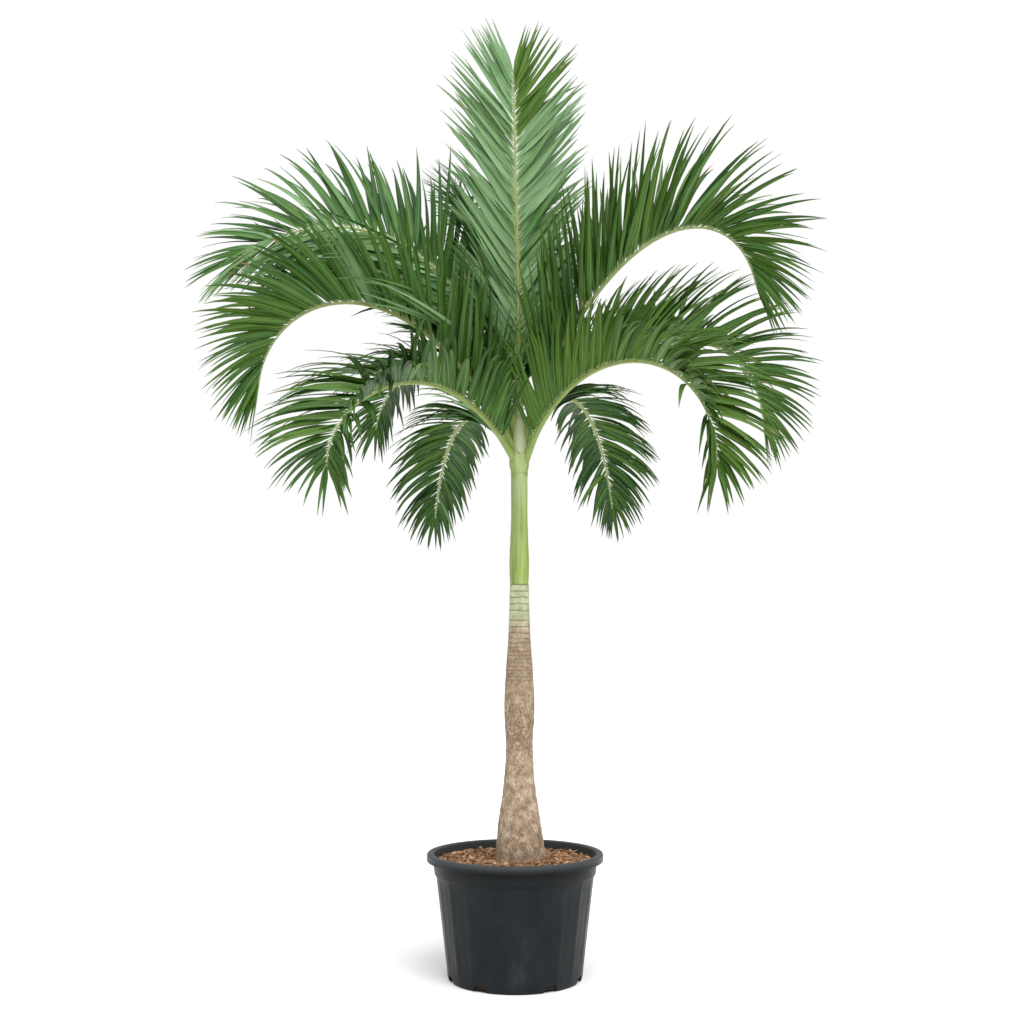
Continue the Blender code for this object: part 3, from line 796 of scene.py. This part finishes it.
def buildCrownshaft(low, high, trunkX, paint):
    s = crownSettings
    length = high - low
    stations = [(radius - s["collarLip"] * (share < 0.9), low + share * length) for radius, share in s["radii"]]
    rows = int(length / s["rowHeight"])
    profile = [(0, low), (0.012, low)]
    profile += [(profileRadius(low + length * row / rows, stations), low + length * row / rows)
                for row in range(rows + 1)]
    profile += [(stations[-1][0] * 0.85, high + 0.0008), (0, high + 0.0008)]
    shaft = turnedShape("crownshaftSheath", profile, (trunkX, 0), s["columns"])
    points = readPoints(shaft)
    heights = points[:, 2]
    radius = np.hypot(points[:, 0] - trunkX, points[:, 1])
    angle = np.arctan2(points[:, 1], points[:, 0] - trunkX)
    # the edge of the last shed sheath hangs lowest at the front
    edge = high - s["collarDrop"] + 0.022 * (0.5 - 0.5 * np.cos(angle + math.pi / 2)) ** 0.8
    above = smoothStep(heights, edge - 0.0012, edge + 0.0012)
    scar = np.exp(-((heights - edge) / 0.0013) ** 2) * 0.55
    seamAngle = -math.pi / 2 + 0.45 + 0.25 * (heights - low) / length
    seam = np.exp(-(np.sin((angle - seamAngle) / 2) * 2 / 0.045) ** 2) * smoothStep(heights, low + 0.02, low + 0.06)
    base = np.exp(-((heights - low) / 0.0016) ** 2) * 0.75
    waves = np.array([noise.noise(Vector((x * 60, y * 60, z * 6))) for x, y, z in points]) * 0.0005
    outward = above * s["collarLip"] - seam * 0.0006 + waves
    scale = np.where(radius > 0.014, (radius + outward) / np.maximum(radius, 1e-6), 1.0)
    points[:, 0] = trunkX + (points[:, 0] - trunkX) * scale
    points[:, 1] *= scale
    writePoints(shaft, points)
    share = (heights - low) / length
    storeFloat(shaft, "scar", np.maximum(np.maximum(scar, base), seam * 0.12))
    # painted sheen: the whitish colour is stored strongest on the front, turned a little towards the key light on the
    # right
    facing = 0.5 + 0.5 * np.cos(angle + math.pi / 2 - 0.25)
    bloomAndSheenMask = (0.30 + 0.70 * smoothStep(share, 0.15, 0.60)) * (0.25 + 0.75 * facing**6)
    storeFloat(shaft, "bloomAndSheen", bloomAndSheenMask * (1 - 0.5 * above))
    # painted shade, strongest on the left flank, away from the key light
    storeFloat(shaft, "sheathShade", 0.5 - 0.5 * np.cos(angle))
    smoothShade(shaft, 60)
    finishPiece(shaft, ["crownshaft"], [paint])


def buildInnerSheath(low, high, lowRadius, highRadius, trunkX, paint):
    length = high - low
    rows = 60
    profile = [(0, low - 0.006), (lowRadius, low - 0.006)]
    for row in range(rows + 1):
        share = row / rows
        profile.append((lowRadius + (highRadius - lowRadius) * share, low + length * share))
    profile += [(highRadius * 0.6, high + 0.003), (0, high + 0.004)]
    sheath = turnedShape("innerSheath", profile, (trunkX, 0), 40)
    points = readPoints(sheath)
    heights = points[:, 2]
    angle = np.arctan2(points[:, 1], points[:, 0] - trunkX)
    share = (heights - low) / length
    # two overlapping wraps climb round the cone
    climb = ((angle + math.pi / 2) / (2 * math.pi) + share * 1.6) % 1.0
    lap = smoothStep(climb, 0.0, 0.05) * 0.0010
    scale = 1 + (lap - 0.0008) / 0.014
    points[:, 0] = trunkX + (points[:, 0] - trunkX) * scale
    points[:, 1] *= scale
    writePoints(sheath, points)
    edge = np.exp(-((climb - 0.02) / 0.02) ** 2) * 0.5
    mark = np.exp(-((share - 0.62) / 0.03) ** 2) * (np.sin(angle * 2.2 + 5) > 0.2) * 0.5
    storeFloat(sheath, "scar", np.maximum(edge, mark))
    # the inner sheath takes the bloom evenly, with no painted sheen
    storeFloat(sheath, "bloomAndSheen", np.full(len(points), 1.0))
    # an even share of the painted flank shade over the inner sheath
    storeFloat(sheath, "sheathShade", np.full(len(points), 0.45))
    smoothShade(sheath, 50)
    finishPiece(sheath, ["inner_sheath"], [paint])


# ---- fronds ----

frondSettings = {
    # azimuth, base height above the crownshaft, launch angle and pull, reach, rise, tip angle
    # and pull, sweep, bare share, lift of the left and right leaflets, first and last lean,
    # droop, leaflet size
    "lines": {
        "frond_01": (98, 0.150, 87, 0.35, 0.10, 0.835, 82, 0.30, 0.00, 0.20, 14, 14, 38, 18, 0.04, 0.90),
        "frond_02": (112, 0.095, 80, 0.35, 0.42, 0.60, 0, 0.25, 0.00, 0.22, 40, 40, 50, 20, 0.15, 0.85),
        "frond_03": (1, 0.075, 69, 0.58, 0.545, 0.335, -80, 0.24, 0.00, 0.18, 58, 50, 46, 15, 0.14, 1.12),
        "frond_04": (177, 0.095, 77, 0.48, 0.67, 0.38, -38, 0.28, 0.00, 0.22, -45, 60, 48, 20, 0.12, 1.14),
        "frond_05": (150, 0.055, 67, 0.32, 0.65, 0.47, -19, 0.33, -0.015, 0.22, -12, 40, 50, 20, 0.30, 0.90),
        "frond_06": (28, 0.045, 74, 0.20, 0.71, 0.08, -82, 0.41, 0.00, 0.18, 45, 50, 50, 15, 0.22, 0.95),
        "frond_07": (193, 0.030, 61, 0.54, 0.58, 0.10, -88, 0.22, 0.00, 0.12, 52, 58, 46, 15, 0.18, 1.00),
        "frond_08": (330, 0.004, 66, 0.32, 0.51, -0.08, -85, 0.29, -0.12, 0.12, 42, 45, 46, 18, 0.35, 0.90),
        "frond_09": (144, 0.024, 60, 0.29, 0.46, 0.09, -71, 0.20, -0.035, 0.20, 22, 22, 50, 15, 0.60, 0.72),
        "frond_10": (218, 0.000, 51, 0.37, 0.55, -0.09, -82, 0.13, 0.11, 0.14, 30, 32, 52, 20, 0.40, 0.95),
        "frond_11": (60, 0.020, 55, 0.28, 0.49, -0.10, -74, 0.33, 0.005, 0.24, 20, 18, 46, 12, 0.60, 0.76),
        "frond_12": (118, 0.008, 42, 0.23, 0.47, -0.115, -74, 0.33, -0.01, 0.22, 18, 20, 46, 12, 0.60, 0.76),
    },
    # tone, freshness, leaflet length at the first pair, halfway and at the tip, and how late
    # the lengths fall off
    "looks": {
        "frond_01": (0.97, 0.08, 0.95, 0.98, 0.58, 5.0),
        "frond_02": (0.58, 0.10, 0.98, 0.98, 0.45, 1.8),
        "frond_03": (0.42, 0.60, 0.99, 0.97, 0.46, 1.8),
        "frond_04": (0.62, 0.10, 1.08, 1.02, 0.45, 1.8),
        "frond_05": (0.54, 0.15, 1.02, 1.00, 0.48, 1.8),
        "frond_06": (0.42, 0.55, 0.84, 0.97, 0.46, 1.8),
        "frond_07": (0.56, 0.50, 0.90, 1.00, 0.46, 1.8),
        "frond_08": (0.30, 0.80, 0.92, 0.96, 0.48, 1.8),
        "frond_09": (0.26, 0.25, 0.88, 1.00, 0.50, 1.8),
        "frond_10": (0.40, 0.45, 0.72, 0.95, 0.47, 1.8),
        "frond_11": (0.26, 0.30, 0.72, 0.94, 0.44, 2.2),
        "frond_12": (0.26, 0.30, 0.72, 0.94, 0.44, 2.2),
    },
    # the first leaflets of the inner fronds stand lower on their stalks
    "earlierStart": 0.07,
    "innerStart": 0.13,
    # the row that hangs in front of frond_04 is the palest of its crown
    "paleRow": ("frond_04", 1, 0.20),
    # the newest leaflets: frond, side, from where on the stalk, change of tone, freshness
    "newLeaflets": ("frond_01", -1, 0.76, -0.42, 0.95),
    "baseRadius": 0.0070,
    "footFlare": 1.28,
    "claspDepth": 0.058,
    "claspRadius": 0.0105,
    "tipRadius": 0.0012,
    "sides": 10,
    "stalkPoints": 44,
    "leafletPitch": 0.0078,
    "leafletLength": 0.275,
    "leafletWidth": 0.0146,
    "leafletFold": 0.20,
    "leafThickness": 0.0006,
    "leanSwell": 14,
}


def bezierPoints(start, startHandle, endHandle, end, share):
    rest = 1 - share
    return rest**3 * start + 3 * rest**2 * share * startHandle + 3 * rest * share**2 * endHandle + share**3 * end


def frondPoints(numbers, sheathBase, trunkX, sheathRadii):
    azimuth, base, launch, pull, reach, rise, tip, tipPull, sweep = numbers[:9]
    azimuth, launch, tip = (math.radians(angle) for angle in (azimuth, launch, tip))
    sheathHeight, lowRadius, highRadius = sheathRadii
    stalk = frondSettings["baseRadius"]
    if base > sheathHeight:
        base = sheathHeight + stalk * math.cos(launch)
        foot = 0.0
    else:
        foot = lowRadius + (highRadius - lowRadius) * base / sheathHeight + stalk * math.sin(launch)
    start = np.array([foot, base])
    end = np.array([foot + reach, base + rise])
    launchWay = np.array([math.cos(launch), math.sin(launch)])
    handleStart = start + pull * launchWay
    handleEnd = end - tipPull * np.array([math.cos(tip), math.sin(tip)])
    share = np.linspace(0, 1, 400)[:, None]
    flat = bezierPoints(start, handleStart, handleEnd, end, share)
    outward = np.array([math.cos(azimuth), math.sin(azimuth), 0.0])
    sideways = np.array([-math.sin(azimuth), math.cos(azimuth), 0.0])
    line = np.array([trunkX, 0, sheathBase]) + flat[:, :1] * outward
    line = line + flat[:, 1:] * np.array([0, 0, 1.0]) + sweep * share**2 * sideways

    # the foot runs down inside the sheath that clasps the stem
    claspDepth = frondSettings["claspDepth"]
    low = base - claspDepth
    lowStem = lowRadius + (highRadius - lowRadius) * max(0.0, low) / sheathHeight
    if low < 0:
        lowStem = lowRadius + 0.0018
    claspEnd = np.array([max(0.0, lowStem - frondSettings["claspRadius"] + 0.0012), low])
    claspHandle = claspEnd + np.array([0, claspDepth * 0.45])
    foot = bezierPoints(start, start - claspDepth * 0.42 * launchWay, claspHandle, claspEnd, share[::20])
    foot = foot[::-1]
    clasp = np.array([trunkX, 0, sheathBase]) + foot[:, :1] * outward + foot[:, 1:] * np.array([0, 0, 1.0])
    return line, clasp


class StalkLine:
    # the stalk's path by distance, with its directions there
    def __init__(self, line, clasp):
        self.clasp = clasp
        steps = np.linalg.norm(np.diff(line, axis=0), axis=1)
        self.distance = np.concatenate([[0.0], np.cumsum(steps)])
        self.line = line
        self.length = float(self.distance[-1])
        first = line[60] - line[0]
        side = np.array([-first[1], first[0], 0.0])
        self.firstSide = side / np.linalg.norm(side)

    def place(self, distance):
        return np.array([np.interp(distance, self.distance, self.line[:, axis]) for axis in range(3)])

    def directions(self, distance):
        step = 0.012
        forward = self.place(min(distance + step, self.length)) - self.place(max(distance - step, 0.0))
        forward /= np.linalg.norm(forward)
        side = np.array([-forward[1], forward[0], 0.0])
        if np.linalg.norm(side) < 0.2:
            side = self.firstSide
        side = side / np.linalg.norm(side)
        if side @ self.firstSide < 0:
            side = -side
        upward = np.cross(forward, side)
        return forward, side, upward / np.linalg.norm(upward)

    def radius(self, distance):
        s = frondSettings
        share = min(1.0, distance / self.length)
        return s["baseRadius"] + (s["tipRadius"] - s["baseRadius"]) * share**0.8


def leafletShare(along, first, middle, last, fall):
    # up from the first length to the middle one, then down to the last
    if along < 0.5:
        return first + (middle - first) * math.sin(math.pi * along)
    return middle + (last - middle) * (2 * along - 1) ** fall


def leafletTemplate():
    # a long grid, folded along its middle, narrowed to both ends and thickened
    s = frondSettings
    rows = 9
    deselectAll()
    bpy.ops.mesh.primitive_grid_add(x_subdivisions=2, y_subdivisions=rows, size=1, location=(0, 0.5, 0))
    leaflet = bpy.context.object
    leaflet.name = "leafletTemplate"
    applyPlace(leaflet)
    points = readPoints(leaflet)
    points[:, 2] -= s["leafletFold"] * (np.abs(points[:, 0]) < 0.1)
    along = points[:, 1]
    rising = 0.24 + 0.76 * smoothStep(along, 0.0, 0.22)
    falling = (1 - np.clip((along - 0.28) / 0.72, 0, 1) ** 1.15) ** 0.85
    width = rising * falling + 0.02
    points[:, 0] *= width * s["leafletWidth"]
    points[:, 2] *= width * s["leafletWidth"]
    writePoints(leaflet, points)
    for layer in list(leaflet.data.uv_layers):
        layer.name = "leafMap"
    storeFloat(leaflet, "blade", along)
    storeFloat(leaflet, "across", np.clip(points[:, 0] / (width * s["leafletWidth"]) + 0.5, 0, 1))
    solid = leaflet.modifiers.new("thickness", "SOLIDIFY")
    solid.thickness = s["leafThickness"]
    solid.offset = 0
    solid.material_offset = 1
    for slotIndex in range(2):
        leaflet.data.materials.append(None)
    applyModifier(leaflet, solid)
    smoothShade(leaflet, 75)
    return leaflet


def bentLeaflet(template, templatePoints, root, direction, across, width, length, bend, curlTo, curl):
    # the copy follows a spine that droops towards the ground as it goes out
    steps = 16
    shares = np.linspace(0, 1, steps + 1)
    spine = [root]
    heading = direction
    headings = [direction]
    for share in shares[1:]:
        heading = direction + np.array([0, 0, -1.0]) * bend * 2.3 * share**2.1 + curlTo * curl * share
        heading = heading / np.linalg.norm(heading)
        headings.append(heading)
        spine.append(spine[-1] + heading * length / steps)
    spine = np.array(spine)
    headings = np.array(headings)
    sides = across - (headings @ across)[:, None] * headings
    sides /= np.linalg.norm(sides, axis=1)[:, None]
    faces = np.cross(sides, headings)
    share = np.clip(templatePoints[:, 1], 0, 1)
    centre = np.stack([np.interp(share, shares, spine[:, axis]) for axis in range(3)], axis=1)
    side = np.stack([np.interp(share, shares, sides[:, axis]) for axis in range(3)], axis=1)
    face = np.stack([np.interp(share, shares, faces[:, axis]) for axis in range(3)], axis=1)
    points = centre + side * templatePoints[:, :1] * width + face * templatePoints[:, 2:] * min(1.2, width)
    piece = bpy.data.objects.new("leaflet", template.data.copy())
    bpy.context.scene.collection.objects.link(piece)
    writePoints(piece, points)
    return piece


def buildLeafletRow(frondName, stalk, numbers, side, template, templatePoints, paints):
    s = frondSettings
    bareShare = numbers[9]
    lift = numbers[10] if side > 0 else numbers[11]
    firstLean, lastLean, droop, size = numbers[12:16]
    tone, freshness = s["looks"][frondName][:2]
    if s["paleRow"][:2] == (frondName, side):
        tone += s["paleRow"][2]
    lengths = s["looks"][frondName][2:]
    inner = frondName in ("frond_01", "frond_02")
    start = stalk.length * (bareShare - s["innerStart" if inner else "earlierStart"])
    leafed = stalk.length - start
    count = int(leafed / s["leafletPitch"])
    rowSeed = int(frondName[-2:]) * 7.3 + side * 2.1
    pieces = []
    tones = []
    freshes = []
    for number in range(count + 1):
        along = number / count
        clump = noise.noise_vector(Vector((number * 0.30, rowSeed, 0.5)))
        stray = 2.2 if random.random() < 0.07 else 1.0
        distance = min(start + leafed * along + random.uniform(-0.0025, 0.0025), stalk.length * 0.998)
        forward, sideways, upward = stalk.directions(distance)
        liftHere = math.radians(lift + random.gauss(0, 6.0) * stray + clump.x * 9)
        outward = math.cos(liftHere) * side * sideways + math.sin(liftHere) * upward
        tipShare = along**6
        lean = (firstLean + s["leanSwell"] * along) * (1 - tipShare) + lastLean * tipShare
        lean = math.radians(lean + random.gauss(0, 3.2) * stray + clump.y * 5)
        direction = math.cos(lean) * forward + math.sin(lean) * outward
        length = s["leafletLength"] * size * leafletShare(along, *lengths)
        length *= random.uniform(0.88, 1.06)
        width = (0.60 + 0.52 * math.sin(math.pi * min(1.0, along * 0.80 + 0.16))) * random.uniform(0.86, 1.12)
        root = stalk.place(distance) + outward * stalk.radius(distance) * 0.7
        across = forward - (forward @ direction) * direction
        across /= np.linalg.norm(across)
        face = np.cross(across, direction)
        if face @ upward < 0:
            across = -across
            face = -face
        twist = math.radians(random.gauss(8 * side, 18))
        across = math.cos(twist) * across + math.sin(twist) * face
        bend = droop / (1 + 0.8 * droop) * random.uniform(0.6, 1.4) + 0.02 * stray
        pieces.append(bentLeaflet(template, templatePoints, root, direction, across, width, length, bend,
                                  forward, random.uniform(-0.05, 0.25)))
        toneHere = tone + random.gauss(0, 0.13) + clump.z * 0.26
        freshHere = freshness + clump.x * 0.55 + random.gauss(0, 0.18)
        newFrond, newSide, newFrom, newTone, newFreshness = s["newLeaflets"]
        if (frondName, side) == (newFrond, newSide) and along > newFrom:
            toneHere += newTone
            freshHere += newFreshness
        tones.append(min(1.0, max(0.0, toneHere)))
        freshes.append(min(1.0, max(0.0, freshHere)))
    for piece, toneHere, freshHere in zip(pieces, tones, freshes):
        corners = len(piece.data.vertices)
        storeFloat(piece, "tone", [toneHere] * corners)
        storeFloat(piece, "dry", [random.random() ** 4] * corners)
        storeFloat(piece, "fresh", [freshHere] * corners)
    sideName = "Left" if side > 0 else "Right"
    row = joinPieces(pieces, "frond" + frondName[-2:] + "Leaflets" + sideName)
    node = f"{frondName}_leaflets_{sideName.lower()}"
    finishPiece(row, [node], paints)
    return len(row.data.polygons)


def buildStalk(frondName, stalk, paint):
    s = frondSettings
    curve = bpy.data.curves.new("stalkPath", "CURVE")
    curve.dimensions = "3D"
    curve.bevel_depth = 1.0
    curve.bevel_resolution = 3
    curve.use_fill_caps = True
    places = []
    for index, point in enumerate(stalk.clasp[:-1]):
        share = index / (len(stalk.clasp) - 1)
        widening = s["claspRadius"] + (s["baseRadius"] * s["footFlare"] - s["claspRadius"]) * share
        places.append((point, widening))
    for index in range(s["stalkPoints"]):
        distance = stalk.length * index / (s["stalkPoints"] - 1)
        flare = 1 + (s["footFlare"] - 1) * math.exp(-(distance / 0.035) ** 2)
        places.append((stalk.place(distance), stalk.radius(distance) * flare))
    spline = curve.splines.new("POLY")
    spline.points.add(len(places) - 1)
    for spot, (point, radius) in zip(spline.points, places):
        spot.co = (*point, 1.0)
        spot.radius = radius
    piece = bpy.data.objects.new("frond" + frondName[-2:] + "Stalk", curve)
    bpy.context.scene.collection.objects.link(piece)
    makeActive(piece)
    bpy.ops.object.convert(target="MESH")
    piece = bpy.context.object
    outwardNormals(piece)
    points = readPoints(piece)
    nearest = [int(np.argmin(np.sum((stalk.line - point) ** 2, axis=1))) for point in points]
    storeFloat(piece, "along", [stalk.distance[index] / stalk.length for index in nearest])
    smoothShade(piece, 60)
    finishPiece(piece, [frondName + "_stalk"], [paint])


def buildFronds(sheathBase, trunkX, sheathRadii, leafTop, leafUnder, stalkPaint):
    template = leafletTemplate()
    templatePoints = readPoints(template)
    faces = 0
    for frondName, numbers in frondSettings["lines"].items():
        stalk = StalkLine(*frondPoints(numbers, sheathBase, trunkX, sheathRadii))
        buildStalk(frondName, stalk, stalkPaint)
        for side in (1, -1):
            faces += buildLeafletRow(frondName, stalk, numbers, side, template, templatePoints, [leafTop, leafUnder])
        print(frondName, "done")
    bpy.data.objects.remove(template, do_unlink=True)
    print("leaflets:", faces, "faces")


# ---- the whole palm ----

def buildPalm():
    potLow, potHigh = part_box("pot")
    mulchLow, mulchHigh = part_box("bark_mulch")
    trunkLow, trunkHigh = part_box("trunk")
    shaftLow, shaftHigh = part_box("crownshaft")
    sheathLow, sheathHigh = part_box("inner_sheath")
    trunkX = (shaftLow.x + shaftHigh.x) / 2
    sheathLowRadius = (sheathHigh.x - sheathLow.x) / 2
    sheathRadii = (sheathHigh.z - sheathLow.z, sheathLowRadius, 0.0070)

    topColours = ((0.005, 0.033, 0.003), (0.016, 0.076, 0.008), (0.062, 0.168, 0.033), (0.225, 0.385, 0.190))
    underColours = ((0.010, 0.044, 0.006), (0.030, 0.100, 0.015), (0.084, 0.188, 0.050), (0.240, 0.390, 0.205))
    leafTop = leafMaterial("leafUpperSide", topColours, (0.085, 0.170, 0.010), 0.46, 0.20)
    leafUnder = leafMaterial("leafUnderside", underColours, (0.110, 0.190, 0.020), 0.62, 0.14)
    mulchStops = [(0.15, (0.065, 0.030, 0.016)), (0.40, (0.220, 0.110, 0.056)),
                  (0.62, (0.380, 0.215, 0.120)), (0.90, (0.680, 0.520, 0.350))]
    # the potting mix is dark soil painted darker still, as painted shade seen through the drain holes
    soilAndShadeStops = [(0.2, (0.012, 0.008, 0.006)), (0.8, (0.045, 0.028, 0.018))]

    buildPot(potHigh.z, potMaterial())
    mouthRadius = potSettings["rimRadius"] - potSettings["rimOverhang"] - potSettings["wall"]
    collarBottom = potHigh.z - potSettings["collarDepth"]
    buildSoilBody(mulchHigh.z, 0.0045, collarBottom, potHigh.z, crumbMaterial("pottingMix", soilAndShadeStops, 0.001))
    mulchPaint = crumbMaterial("barkMulch", mulchStops, 0.0012)
    buildMulchBed(mulchHigh.z, (mulchHigh.x - mulchLow.x) / 2, mulchPaint)
    buildBarkChips(mulchHigh.z, trunkX, mulchPaint)
    buildTrunk(mulchHigh.z, trunkHigh.z, trunkX, barkMaterial())
    buildCrownshaft(shaftLow.z, shaftHigh.z, trunkX, sheathMaterial("crownshaftSkin", 0.85))
    buildInnerSheath(sheathLow.z, sheathHigh.z, sheathLowRadius, 0.0070, trunkX, sheathMaterial("innerSheathSkin", 0.9))
    buildFronds(sheathLow.z, trunkX, sheathRadii, leafTop, leafUnder, stalkMaterial())


buildStage()
buildPalm()
